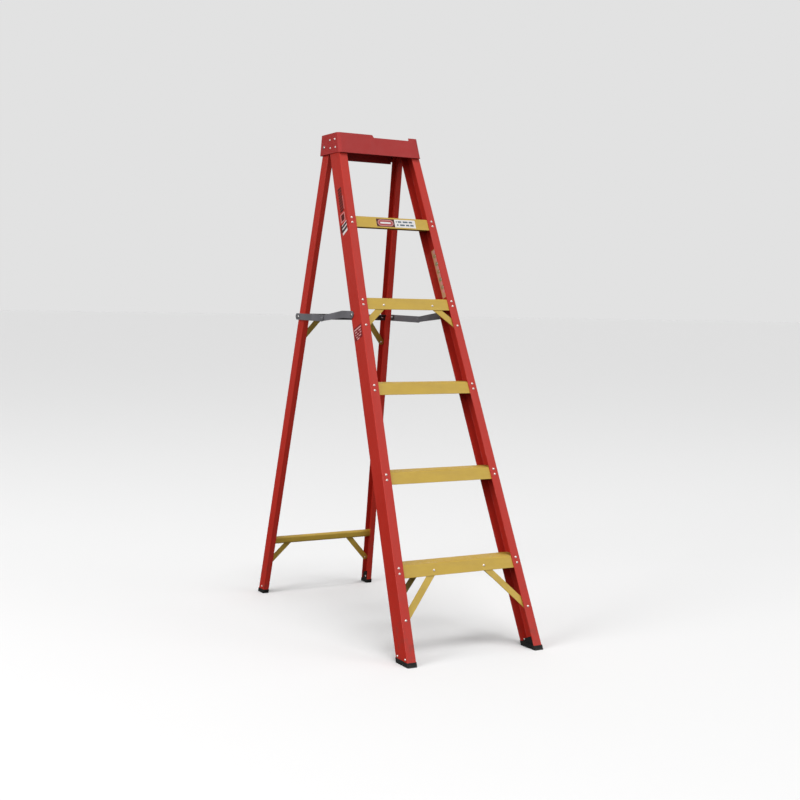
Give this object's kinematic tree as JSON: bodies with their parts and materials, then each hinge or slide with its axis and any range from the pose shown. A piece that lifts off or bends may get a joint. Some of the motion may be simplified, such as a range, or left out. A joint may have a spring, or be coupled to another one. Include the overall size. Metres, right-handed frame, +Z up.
{
  "type": "step ladder",
  "caption": "Folding step ladder with red channel rails, yellow ribbed steps, a moulded top cap and a rear frame on locking spreaders.",
  "frame": {"origin": "on the floor, in the middle of the footprint of the four open feet", "axes": "+X across the ladder, +Y from the climbing side to the rear frame, +Z up"},
  "size_m": [0.5128, 1.1902, 1.708],
  "materials": {
    "red_rail": "satin",
    "red_cap": "satin",
    "yellow_step": "satin",
    "yellow_brace": "satin",
    "olive_brace": "satin",
    "grey_steel": "satin",
    "dark_steel": "satin",
    "pin_steel": "satin",
    "rivet": "satin",
    "rubber": "matte",
    "label": "satin",
    "print": "satin"
  },
  "bodies": {
    "front_section": {"top_cap": "red_cap", "cap_rivets": "rivet", "hinge_pin_left": "pin_steel", "hinge_pin_right": "pin_steel", "front_rail_left": "red_rail", "front_rail_right": "red_rail", "step_1": "yellow_step", "step_2": "yellow_step", "step_3": "yellow_step", "step_4": "yellow_step", "step_5": "yellow_step", "step_rivets": "rivet", "bottom_front_brace_left": "yellow_brace", "bottom_front_brace_right": "yellow_brace", "bottom_back_brace_left": "olive_brace", "bottom_back_brace_right": "olive_brace", "upper_front_brace_left": "yellow_brace", "upper_front_brace_right": "yellow_brace", "front_brace_rivets": "rivet", "front_foot_left": "rubber", "front_foot_right": "rubber", "front_foot_rivets": "rivet", "front_pivot_pin_left": "pin_steel", "front_pivot_pin_right": "pin_steel", "step_label": "label", "rail_band_left": "print", "rail_sticker_left": "label", "rail_strip_right": "label"},
    "rear_section": {"rear_rail_left": "red_rail", "rear_rail_right": "red_rail", "upper_rear_bar": "dark_steel", "lower_rear_bar": "yellow_step", "upper_rear_brace_left": "olive_brace", "upper_rear_brace_right": "olive_brace", "lower_rear_brace_left": "yellow_brace", "lower_rear_brace_right": "yellow_brace", "rear_rivets": "rivet", "rear_foot_left": "rubber", "rear_foot_right": "rubber", "rear_foot_rivets": "rivet", "rear_pivot_pin_left": "pin_steel", "rear_pivot_pin_right": "pin_steel", "rear_pivot_spacer_left": "pin_steel", "rear_pivot_spacer_right": "pin_steel"},
    "spreader_front_left": {"front_link_left": "grey_steel", "front_link_stud_left": "grey_steel"},
    "spreader_front_right": {"front_link_right": "grey_steel", "front_link_stud_right": "grey_steel"},
    "spreader_rear_left": {"rear_link_left": "grey_steel", "rear_link_stud_left": "grey_steel"},
    "spreader_rear_right": {"rear_link_right": "grey_steel", "rear_link_stud_right": "grey_steel"}
  },
  "joints": [
    {"name": "rear_fold", "type": "hinge", "parent": "front_section", "child": "rear_section", "pos_m": [0, 0.22148, 1.66387], "axis": [-1, 0, 0], "range_deg": [0, 34.8]},
    {"name": "spreader_front_left_turn", "type": "hinge", "parent": "front_section", "child": "spreader_front_left", "pos_m": [-0.194, -0.07197, 1.07511], "axis": [1, 0, 0], "range_deg": [0, 87.18]},
    {"name": "spreader_rear_left_turn", "type": "hinge", "parent": "rear_section", "child": "spreader_rear_left", "pos_m": [-0.198, 0.3397, 1.06377], "axis": [-1, 0, 0], "range_deg": [0, 49.78]},
    {"name": "spreader_front_right_turn", "type": "hinge", "parent": "front_section", "child": "spreader_front_right", "pos_m": [0.194, -0.07197, 1.07511], "axis": [1, 0, 0], "range_deg": [0, 87.18]},
    {"name": "spreader_rear_right_turn", "type": "hinge", "parent": "rear_section", "child": "spreader_rear_right", "pos_m": [0.198, 0.3397, 1.06377], "axis": [-1, 0, 0], "range_deg": [0, 49.78]}
  ],
  "couplings": [
    {"joint": "spreader_front_left_turn", "follows": "rear_fold", "ratio": 2.5038},
    {"joint": "spreader_rear_left_turn", "follows": "rear_fold", "ratio": 1.429},
    {"joint": "spreader_front_right_turn", "follows": "rear_fold", "ratio": 2.5038},
    {"joint": "spreader_rear_right_turn", "follows": "rear_fold", "ratio": 1.429}
  ]
}
